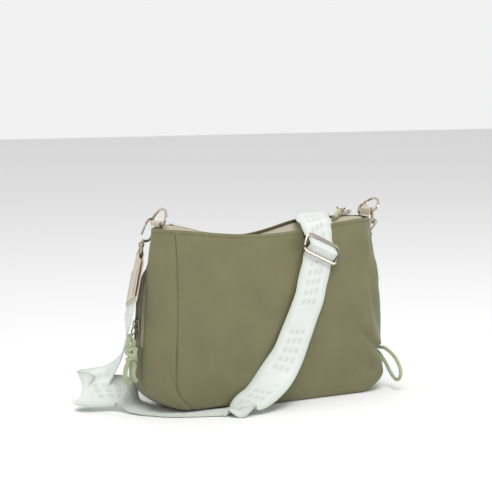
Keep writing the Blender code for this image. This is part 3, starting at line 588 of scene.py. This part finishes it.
# ---- shell ------------------------------------------------------------------------
def outward(at, u, z):
    """Direction out of a panel's surface."""
    along = at(min(1, u + U_STEP), z) - at(max(0, u - U_STEP), z)
    up = at(u, z + Z_STEP) - at(u, max(0, z - Z_STEP))
    return along.cross(up).normalized()


def cloth_panel(name, at, top, columns, rows, folds, replaced, z0=0.0, z1=None):
    """A soft panel: its shape, its folds, edges rolled into the seams, and its thickness.
    Rows are closer together near the floor.  A panel that ends at z1 has no rolled top."""
    grid_out, grid_in, run_at = [], [], []
    run, before = 0.0, None
    for i in range(columns + 1):
        u = i / columns
        high = z1 if z1 else top(at(u, HEIGHT).x)
        line_out, line_in, heights = [], [], []
        middle = at(u, RUN_Z)
        run += (middle - before).length if before is not None else 0.0
        before = middle
        for j in range(rows + 1):
            t = j / rows
            z = z0 + (high - z0) * (0.5 * t * t + 0.5 * t if z0 < 1 else t)
            p = at(u, z)
            normal = outward(at, u, z)
            width = (at(1, z) - at(0, z)).length
            from_edges = [u * width, (1 - u) * width] + ([high - z] if z1 is None else [])
            roll = sum(math.exp(-(d / ROLL_WIDTH) ** 2) for d in from_edges)
            out = sway(p, folds) - ROLL * min(1.0, roll)
            line_out.append(lift(p + normal * out))
            line_in.append(lift(p + normal * (out - PANEL_T)))
            heights.append(z)
        grid_out.append(line_out)
        grid_in.append(line_in)
        run_at.append((run, heights))
    obj = closed_grid(name, grid_out, grid_in, OLIVE, lambda i, j: (run_at[i][0], run_at[i][1][j]))
    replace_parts(obj, replaced)


cloth_panel("near_panel_cloth", back_at, near_top, 190, 110, FOLDS, "back_panel")
cloth_panel("left_panel_cloth", left_side_at, near_top, 46, 110, SIDE_FOLDS, "left_side_panel")
cloth_panel("left_far_cloth", left_far_at, far_top, 36, 90, SIDE_FOLDS, "left_far_side_panel")
cloth_panel("right_panel_cloth", right_side_at, far_top, 56, 90, FOLDS, "right_side_panel")
cloth_panel("far_panel_cloth", front_at, far_top, 110, 80, (), "front_panel")
cloth_panel("end_lower_cloth", end_strip_at, near_top, 14, 50, (), "left_end_lower", z1=SIDE_ZIP_LOW)
cloth_panel("end_upper_cloth", end_strip_at, near_top, 14, 30, (), "left_end_upper",
            z0=SIDE_ZIP_HIGH + 1, z1=HEIGHT)
dress("bottom_panel", OLIVE)
dress("main_lining", LINING)
dress("side_pocket_lining", LINING)


# ---- stitches ----------------------------------------------------------------------
EDGE_STITCH = 3.6       # from a panel's top edge down to its row of stitches
SEAM_LOW, SEAM_RUN = 8.0, 170.0
TAPE_LOW, TAPE_RUN = 67.0, 82.0


def on_cloth(at, u, z, folds, proud):
    """A point on a soft panel's outside, or proud of it."""
    return lift(at(u, z) + outward(at, u, z) * (sway(at(u, z), folds) + proud))


def stitch_row(name, place, length, mat, pitch=3.0, fill=0.62, radius=0.28):
    """Stitches along place(t), t from 0 to 1."""
    count = int(length / pitch)
    segments = [(place(k / count), place((k + fill) / count)) for k in range(count)]
    rods(name, segments, radius, mat)


def edge_row(name, at, top, start, span, folds, length):
    """A row of stitches just under a panel's top edge."""
    def place(t):
        u = start + span * t
        return on_cloth(at, u, top(at(u, HEIGHT).x) - EDGE_STITCH, folds, -0.1)
    stitch_row(name, place, length, THREAD)


def on_seam(t):
    z = SEAM_LOW + SEAM_RUN * t
    return lift(Vector((seam_x(z), -depth(z, BACK_DEPTH) + 0.75, z)))


edge_row("near_edge_stitches", back_at, near_top, 0.012, 0.94, FOLDS, 250)
edge_row("far_edge_stitches", front_at, far_top, 0.02, 0.96, (), 225)
edge_row("left_edge_stitches", left_side_at, lambda x: near_top(-120), 0.08, 0.88, SIDE_FOLDS, 30)
stitch_row("left_seam_stitches", on_seam, SEAM_RUN, THREAD, 2.6, 0.5, 0.32)
for edge_name, w in (("near", 1.9), ("far", 16.1)):
    stitch_row("zip_strip_stitches_" + edge_name, lambda t: strip_point(w, TAPE_LOW + TAPE_RUN * t, 0.35),
               TAPE_RUN, TAPE_THREAD, 2.6)


# ---- zips --------------------------------------------------------------------------
for node in ("top_tape_back", "top_tape_front", "side_tape_near", "side_tape_far"):
    dress(node, TAPE)


TOOTH_PITCH = 1.5
TOOTH_REACH = 2.5       # from the middle of the coil to a tooth's outer end
TOOTH_R = 0.52
TOP_TEETH_RUN = COIL_END_X + SLIDER_X + 6    # the teeth go on under the slider
TOP_TEETH_RISE = 0.5    # of the teeth above the zip's arc


def coil_teeth(name, place, across, up, length, replaced):
    """Interlocking coil turns: each a short rod from one side over the middle."""
    segments = []
    count = int(length / TOOTH_PITCH)
    for k in range(count):
        t = (k + 0.5) / count
        side, high = across(t), up(t)
        for sign in (-1, 1):
            shift = place(min(1, t + 0.25 * (1 + sign) / count))
            segments.append((shift + side * sign * TOOTH_REACH + high * 0.3,
                             shift - side * sign * 0.5 + high * 1.15))
    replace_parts(rods(name, segments, TOOTH_R, COIL), replaced)


def top_track(t):
    x = -COIL_END_X + TOP_TEETH_RUN * t
    return Vector((x, 0, TRACK_LOW + TRACK_R - math.sqrt(TRACK_R ** 2 - x * x) + TOP_TEETH_RISE))


def side_zip_z(t):
    return SIDE_ZIP_LOW + (SIDE_ZIP_HIGH - SIDE_ZIP_LOW) * t


def side_track(t):
    return strip_point(SIDE_ZIP_W, side_zip_z(t), 0.6)


def side_across(t):
    dx, dy = strip_dir(side_zip_z(t))
    return Vector((dx, dy, 0))


def side_out(t):
    dx, dy = strip_dir(side_zip_z(t))
    return Vector((-dy, dx, 0))


coil_teeth("top_teeth", top_track, lambda t: Vector((0, 1, 0)), lambda t: Vector((0, 0, 1)),
           TOP_TEETH_RUN, "top_zip_coil")
coil_teeth("side_teeth", side_track, side_across, side_out, SIDE_ZIP_HIGH - SIDE_ZIP_LOW, "side_zip_coil")

for node in ("top_zip_slider", "top_zip_puller", "side_zip_slider", "side_zip_puller", "ring_left",
             "ring_right", "clasp_hook_left", "clasp_hook_right", "clasp_gate_left", "clasp_gate_right",
             "clasp_loop_left", "clasp_loop_right", "buckle_frame", "buckle_bar"):
    dress(node, NICKEL)
for node in ("tab_left", "tab_right"):
    dress(node, LEATHER)

# ---- leather strap ends ----------------------------------------------------------------
LEATHER_LEN = 48.0
LEATHER_HALF = 17.8
NECK_HALF = 6.6
LOOP_RADIUS = 2.5        # from the wire's middle to the middle of the leather
LEATHER_T = 1.4
LEATHER_STEPS = 22       # along each leaf
TURN_STEPS = 10          # round the wire
LEATHER_CELLS = 12       # across
LEAF_GAP = 1.55          # from the webbing's middle to the middle of a leaf
STITCH_PITCH = 2.65
STITCH_LEN = 1.6
# Each end: the middle of its wire, the way down, and the ways across at the top and at the foot.
LEATHER_ENDS = {
    "left": ((-131.0, 10.5, 152.5), (-0.30, -0.20, -0.93), (-0.16, -0.86, 0.46), (-0.22, -0.92, 0.31)),
    "right": ((146.0, 18.0, 162.0), (0.0, 0.14, -0.99), (-0.45, -0.88, -0.12), (-0.45, -0.88, -0.12)),
}


def leather_end(side, roll, down, top_width, low_width):
    """A strap end folded round the clasp's wire loop and sewn round the webbing."""
    roll, down = Vector(roll), Vector(down).normalized()
    top_width, low_width = Vector(top_width), Vector(low_width)

    def section(s, leaf):
        """Middle, way across and half width of a leaf at a distance from the wire."""
        across = top_width.lerp(low_width, smooth(s / LEATHER_LEN)).normalized()
        out = across.cross(down).normalized()
        away = LOOP_RADIUS - (LOOP_RADIUS - LEAF_GAP) * smooth(s / 9)
        half = NECK_HALF + (LEATHER_HALF - NECK_HALF) * smooth((s - 2) / 9)
        return roll + down * s + out * away * leaf, across, half

    rows = [section(LEATHER_LEN * (1 - k / LEATHER_STEPS), 1) for k in range(LEATHER_STEPS)]
    across = top_width.normalized()
    out = across.cross(down).normalized()
    for k in range(TURN_STEPS + 1):
        a = math.pi * k / TURN_STEPS
        rows.append((roll + (out * math.cos(a) - down * math.sin(a)) * LOOP_RADIUS, across, NECK_HALF))
    rows += [section(LEATHER_LEN * (k + 1) / LEATHER_STEPS, -1) for k in range(LEATHER_STEPS)]
    outer, inner, runs, run = [], [], [], 0.0
    for i, (centre, across, half) in enumerate(rows):
        ahead = rows[min(i + 1, len(rows) - 1)][0] - rows[max(i - 1, 0)][0]
        normal = across.cross(ahead).normalized()
        run += (centre - rows[max(i - 1, 0)][0]).length
        runs.append(run)
        line_out, line_in = [], []
        for k in range(LEATHER_CELLS + 1):
            t = 2 * k / LEATHER_CELLS - 1
            crown = 0.35 * (1 - t * t)
            fat = LEATHER_T / 2 * (1 - 0.4 * max(0.0, (abs(t) - 0.9) / 0.1) ** 2)
            middle = centre + across * half * t + normal * crown
            line_out.append(middle + normal * fat)
            line_in.append(middle - normal * fat)
        outer.append(line_out)
        inner.append(line_in)
    obj = closed_grid("leather_" + side, outer, inner, LEATHER,
                      lambda i, j: (runs[i], 2 * LEATHER_HALF * j / LEATHER_CELLS))
    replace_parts(obj, "leather_end_" + side)
    seams = []
    for leaf in (1, -1):
        for edge in (1, -1):
            for k in range(14):
                ends = []
                for s in (10 + k * STITCH_PITCH, 10 + STITCH_LEN + k * STITCH_PITCH):
                    centre, across, half = section(s, leaf)
                    out = across.cross(down).normalized()
                    ends.append(centre + across * edge * (half - 2.0) + out * leaf * (LEATHER_T / 2 + 0.15))
                seams.append(tuple(ends))
        for k in range(12):
            centre, across, half = section(LEATHER_LEN - 2.4, leaf)
            out = across.cross(down).normalized()
            base = centre + out * leaf * (LEATHER_T / 2 + 0.2)
            seams.append((base + across * (-14.6 + 2.5 * k), base + across * (-13.1 + 2.5 * k)))
    rods("leather_stitches_" + side, seams, 0.26, TAPE_THREAD)


for side_name, shape in LEATHER_ENDS.items():
    leather_end(side_name, *shape)

# ---- strap ---------------------------------------------------------------------------
# Each station: centre, then the direction from the lower or right edge to the upper or left edge.
STRAP = (
    ((-143.9, 1.9, 112.6), (0.19, 0.93, -0.31)),
    ((-145.6, 0.8, 107.4), (0.19, 0.93, -0.31)),
    ((-147.4, 1.6, 98), (0.24, 0.93, -0.26)),
    ((-145.6, 11.0, 87), (0.34, 0.92, -0.18)),
    ((-142.2, 19.0, 75), (0.43, 0.9, -0.06)),
    ((-141.5, 25, 62), (0.49, 0.87, 0)),
    ((-142, 32, 50), (0.5, 0.86, 0.08)),
    ((-146.5, 40, 38), (0.47, 0.8, 0.34)),
    ((-154, 46, 29.5), (0.42, 0.7, 0.55)),
    ((-163, 49, 25), (0.36, 0.62, 0.69)),
    ((-171.5, 48.5, 22.5), (0.33, 0.6, 0.73)),
    ((-178, 44, 21), (0.32, 0.6, 0.74)),
    ((-179.5, 37.5, 19.8), (0.32, 0.62, 0.72)),
    ((-177, 33.5, 19), (0.33, 0.62, 0.71)),
    ((-169.5, 31, 18.5), (0.33, 0.6, 0.73)),
    ((-155.8, 26.3, 19), (0.34, 0.54, 0.77)),
    ((-145, 19.5, 16.8), (0.42, 0.5, 0.76)),
    ((-139, 11.6, 6.2), (0.5, 0.83, 0.25)),
    ((-131.5, -2.4, 2.2), (0.6, 0.79, 0.04)),
    ((-122, -13, 1.4), (0.62, 0.785, 0)),
    ((-112.5, -23, 1.2), (0.6, 0.8, 0)),
    ((-96, -31, 1.2), (0.5, 0.87, 0)),
    ((-77, -38.5, 1.2), (0.4, 0.915, 0)),
    ((-65, -44.5, 1.3), (0.32, 0.95, 0)),
    ((-57, -57, 3.4), (0.25, 0.96, 0.1)),
    ((-49.8, -55, 8.6), (0.22, 0.93, 0.29)),
    ((-34, -53.5, 14.6), (0.12, 0.86, 0.5)),
    ((-17.5, -50.7, 26.5), (-0.12, 0.7, 0.7)),
    ((3.9, -45.2, 47.6), (-0.46, 0.25, 0.85)),
    ((16.8, -42.2, 70.4), (-0.75, 0.08, 0.65)),
    ((26, -41.2, 89.5), (-0.92, 0, 0.4)),
    ((34.2, -39.8, 106.5), (-0.93, 0, 0.37)),
    ((38.8, -37.8, 121), (-0.94, 0, 0.34)),
    ((44.2, -36.2, 136), (-0.92, 0, 0.4)),
    ((46.8, -35.2, 144.8), (-0.92, 0, 0.4)),
    ((49.6, -40.3, 153.1), (-0.92, 0, 0.4)),
    ((50.6, -40.3, 156.1), (-0.92, 0, 0.4)),
    ((51.5, -31, 164.8), (-0.92, 0, 0.38)),
    ((51.6, -27.2, 171.5), (-0.97, 0, 0.16)),
    ((51.8, -22.7, 179.4), (-0.99, 0.03, -0.06)),
    ((55.5, -12, 182.6), (-0.96, 0.27, -0.07)),
    ((64.5, 5, 184), (-0.87, 0.49, -0.06)),
    ((75, 20.5, 184.4), (-0.84, 0.54, -0.05)),
    ((80.5, 28.5, 184), (-0.84, 0.53, -0.05)),
    ((85, 36.5, 177), (-0.84, 0.52, -0.1)),
    ((89.5, 42.5, 160), (-0.8, 0.55, -0.2)),
    ((94, 50, 136), (-0.62, 0.72, -0.3)),
    ((102, 57, 112), (-0.4, 0.86, -0.3)),
    ((112, 60, 92), (-0.15, 0.97, -0.15)),
    ((124, 58, 83), (0.1, 0.98, 0.05)),
    ((135, 50, 84), (0.33, 0.92, 0.16)),
    ((143, 40, 92), (0.45, 0.88, 0.12)),
    ((146, 30.5, 103), (0.45, 0.88, 0.12)),
    ((146.2, 25.6, 113.4), (0.45, 0.88, 0.12)),
)
STRAP_T = 1.5
BAND_CELLS = 14         # across the webbing
TAIL_T = 1.1
TAIL_GAP = 1.0          # from the strap's face to the middle of its folded tail
FLOOR_GAP = 0.1         # lowest that the webbing's edge may hang above the floor


def flat_band(name, rows, half, thick, replaced, offset=0.0):
    """Webbing along stations, with thin rounded edges; no edge goes below the floor."""
    centres = [Vector(r[:3]) for r in rows]
    places = [2 * k / BAND_CELLS - 1 for k in range(BAND_CELLS + 1)]
    reaches = [math.copysign(abs(t) ** 0.9, t) * half for t in places]
    top, under, runs = [], [], []
    run = 0.0
    for i, row in enumerate(rows):
        ahead = centres[min(i + 1, len(centres) - 1)] - centres[max(i - 1, 0)]
        if i:
            run += (centres[i] - centres[i - 1]).length
        side = Vector(row[3:])
        side = (side - ahead * side.dot(ahead) / ahead.length_squared).normalized()
        normal = side.cross(ahead).normalized()
        middle_z = abs(side.z) * half + abs(normal.z) * thick / 2 + FLOOR_GAP
        centres[i].z = max(centres[i].z, middle_z)
        line_top, line_under = [], []
        for t, reach in zip(places, reaches):
            fat = thick / 2 * (1 - 0.55 * max(0.0, (abs(t) - 0.86) / 0.14) ** 2)
            wave = 0.12 * math.sin(run / 9) * t
            middle = centres[i] + side * reach + normal * (offset + wave)
            line_top.append(middle + normal * fat)
            line_under.append(middle - normal * fat)
        top.append(line_top)
        under.append(line_under)
        runs.append(run)
    obj = closed_grid(name, top, under, WEBBING, lambda i, j: (runs[i], reaches[j]))
    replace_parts(obj, replaced)
    return obj, centres


strap_rows = curve_through([c + w for c, w in STRAP], 7)
strap, strap_line = flat_band("webbing_strap", strap_rows, WEB_HALF, STRAP_T, "strap_webbing")
# The tail lies along the four stations below the buckle, short of the first and the last.
tail_rows = curve_through([c + w for c, w in STRAP[32:36]], 6)[5:-5]
strap_tail, _ = flat_band("strap_tail", tail_rows, WEB_HALF - 1.2, TAIL_T, "strap_fold",
                          offset=STRAP_T / 2 + TAIL_GAP)


def declare_cord(obj, line):
    """The line of a cord whose two ends both go into the purse, turned into metres; nothing is done with it.
    """
    path = [tuple(Vector(p) * MM) for p in line]


declare_cord(strap, strap_line)

# ---- cords ---------------------------------------------------------------------------
KNOT = Vector((-150.5, -7.8, 63.0))
CORD_R = 2.35
WRAP_POINTS = 14
DRAWCORD_R = 1.9
LINK_END = Vector((-147.0, -1.6, 76.5))   # where the cords pass through the pull's link


def cord(name, points, radius, body, replaced=None, per_span=6, closed=False):
    line = curve_through(points, per_span, closed)
    obj = tube(name, line, radius, CORD, body, closed)
    if replaced:
        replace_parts(obj, replaced)
    return obj, line


def pull_cord(name, points, size, replaced=None, per_span=6):
    """A piece of the side zip's pull: points from the knot, and its share of the cord's radius."""
    cord(name, [KNOT + Vector(p) for p in points], CORD_R * size, "side_pull", replaced, per_span)


def knot_wrap(name, height, radius, tilt, replaced=None):
    """One turn of cord round the gathered strands."""
    points = []
    for k in range(WRAP_POINTS):
        a = 2 * math.pi * k / WRAP_POINTS
        points.append(KNOT + Vector((radius * math.cos(a), radius * math.sin(a),
                                     height + tilt * math.cos(a + 0.7))))
    cord(name, points, CORD_R * 0.94, "side_pull", replaced, 3, closed=True)


LINK_FROM_KNOT = LINK_END - KNOT
# Routes of the pull's pieces, as steps away from the knot's middle.
STRAND_NEAR = (LINK_FROM_KNOT + Vector((-1.2, -1.6, 1.4)), LINK_FROM_KNOT + Vector((-4.2, -4.4, -1.6)),
               (-3.6, -1.6, 9.4), (-2.0, 0, 1.6))
STRAND_FAR = (LINK_FROM_KNOT + Vector((-0.8, 1.4, 1.2)), LINK_FROM_KNOT + Vector((-1.0, 0.6, -2.6)),
              (3.4, 0.6, 9.6), (2.2, 0, 1.6))
BIGHT = ((4.0, -3.4, 3.2), (1.6, -6.2, -0.6), (2.0, -5.8, -5.2), (4.6, -2.4, -8.6))
CORE = ((0, 0, 4.4), (0.2, 0.2, -2), (0, 0, -8.6))
LOOP_A = ((-1.6, -0.5, -8.0), (-4.8, -0.7, -13.5), (-6.3, -0.6, -20.0), (-5.6, -0.2, -27.0),
          (-2.6, 0.6, -31.5), (0.6, 1.0, -29.0), (1.2, 1.2, -22.0), (0.6, 0.8, -14.0), (0.4, 0.4, -8.4))
LOOP_B = ((1.4, -2.0, -8.2), (2.6, -3.0, -13.5), (1.0, -3.4, -20.0), (2.0, -3.2, -26.0), (4.8, -2.4, -29.0))
pull_cord("pull_strand_near", STRAND_NEAR, 1.0, "side_pull_cord")
pull_cord("pull_strand_far", STRAND_FAR, 1.0)
knot_wrap("knot_wrap_top", 2.4, 3.3, 1.0, "side_pull_knot")
knot_wrap("knot_wrap_middle", -2.2, 3.7, -1.2)
knot_wrap("knot_wrap_low", -6.6, 3.1, 1.3)
pull_cord("knot_bight", BIGHT, 0.9)
pull_cord("knot_core", CORE, 1.15)
pull_cord("pull_loop_outer", LOOP_A, 0.96, "side_pull_loop_a", 5)
pull_cord("pull_loop_inner", LOOP_B, 0.96, "side_pull_loop_b", 5)

DRAWCORD = ((131.5, -20.5, 44.2), (134.2, -22.0, 43.8), (137.5, -27.5, 43.0), (140.6, -37.5, 36.6),
            (141.0, -45.5, 29.5), (140.6, -50.6, 21.5), (140.6, -48.0, 14.0), (141.0, -40.5, 12.2),
            (141.2, -31.0, 18.0), (140.4, -24.5, 26.0), (137.8, -20.0, 33.0), (135.2, -18.4, 37.4),
            (132.5, -17.6, 39.6))
drawcord, drawcord_line = cord("drawcord", DRAWCORD, DRAWCORD_R, BODY, "drawcord_loop")
declare_cord(drawcord, drawcord_line)
dress("top_zip_cord_pull", CORD)

# ---- stage: floor, light and camera, in metres --------------------------------------------
FLOOR_HALF = 6.0
floor_mesh = bpy.data.meshes.new("floor")
floor_mesh.from_pydata([(-FLOOR_HALF, -FLOOR_HALF, 0), (FLOOR_HALF, -FLOOR_HALF, 0),
                        (FLOOR_HALF, FLOOR_HALF, 0), (-FLOOR_HALF, FLOOR_HALF, 0)], [], [(0, 1, 2, 3)])
floor_net = Net("pale_floor")
floor_net.set("Base Color", floor_net.mix(floor_net.noise(3.0), (0.93, 0.93, 0.93), (0.945, 0.945, 0.945)))
floor_net.set("Roughness", 0.9)
floor_net.set("Specular IOR Level", 0.0)
floor = link("floor", floor_mesh, floor_net.mat)

bpy.context.scene.view_settings.view_transform = "Standard"
world = bpy.data.worlds.new("studio")
bpy.context.scene.world = world
world.use_nodes = True
background = world.node_tree.nodes["Background"]
background.inputs[1].default_value = 1.0
# Brightness from the far side, 0, to the near side, 1.
WORLD_STOPS = ((0.0, 0.885), (0.50, 0.885), (0.56, 0.885), (0.70, 0.62), (0.80, 0.10), (0.90, 0.16),
               (1.0, 0.9))


def world_light():
    """Even pale light behind, a dim band on the near side for the metal to reflect."""
    tree = world.node_tree
    split = tree.nodes.new("ShaderNodeSeparateXYZ")
    tree.links.new(tree.nodes.new("ShaderNodeTexCoord").outputs["Generated"], split.inputs[0])
    near = tree.nodes.new("ShaderNodeMapRange")
    for i, value in enumerate((1.0, -1.0, 0.0, 1.0)):
        near.inputs[i + 1].default_value = value
    tree.links.new(split.outputs[1], near.inputs[0])
    ramp = tree.nodes.new("ShaderNodeValToRGB")
    while len(ramp.color_ramp.elements) < len(WORLD_STOPS):
        ramp.color_ramp.elements.new(0.5)
    for stop, (place, level) in zip(ramp.color_ramp.elements, WORLD_STOPS):
        stop.position = place
        stop.color = (level, level, level, 1)
    tree.links.new(near.outputs[0], ramp.inputs[0])
    tree.links.new(ramp.outputs[0], background.inputs[0])


world_light()
LAMP_AIM = Vector((0, 0, 0.1))


def lamp(name, place, size, power):
    data = bpy.data.lights.new(name, "AREA")
    data.shape = "DISK"
    data.size = size
    data.energy = power
    obj = bpy.data.objects.new(name, data)
    obj.location = place
    obj.rotation_euler = (LAMP_AIM - Vector(place)).to_track_quat("-Z", "Y").to_euler()
    bpy.context.scene.collection.objects.link(obj)


lamp("key", (-0.5, -1.3, 2.1), 1.3, 34)
lamp("fill", (1.9, -1.5, 1.0), 1.0, 8)

AZIMUTH, ELEVATION = math.radians(-30), math.radians(6.5)
DISTANCE = 1.5
SENSOR = 36.0                    # millimetres
LENS_RATIO = 1500 / 492          # focal length over image width
TARGET = Vector((-0.003, -0.036, 0.093))
TARGET_SHIFT = (0.02, -0.04467)  # where the target sits off the optical axis
toward = Vector((math.sin(AZIMUTH) * math.cos(ELEVATION), -math.cos(AZIMUTH) * math.cos(ELEVATION),
                 math.sin(ELEVATION)))
right = Vector((math.cos(AZIMUTH), math.sin(AZIMUTH), 0))
up = right.cross(-toward)
camera_data = bpy.data.cameras.new("camera")
camera_data.sensor_width = SENSOR
camera_data.lens = SENSOR * LENS_RATIO
camera = bpy.data.objects.new("camera", camera_data)
camera.matrix_world = Matrix.Translation(
    TARGET + DISTANCE * (toward - right * TARGET_SHIFT[0] - up * TARGET_SHIFT[1])) @ Matrix(
    (right, up, toward)).transposed().to_4x4()
bpy.context.scene.collection.objects.link(camera)
bpy.context.scene.camera = camera
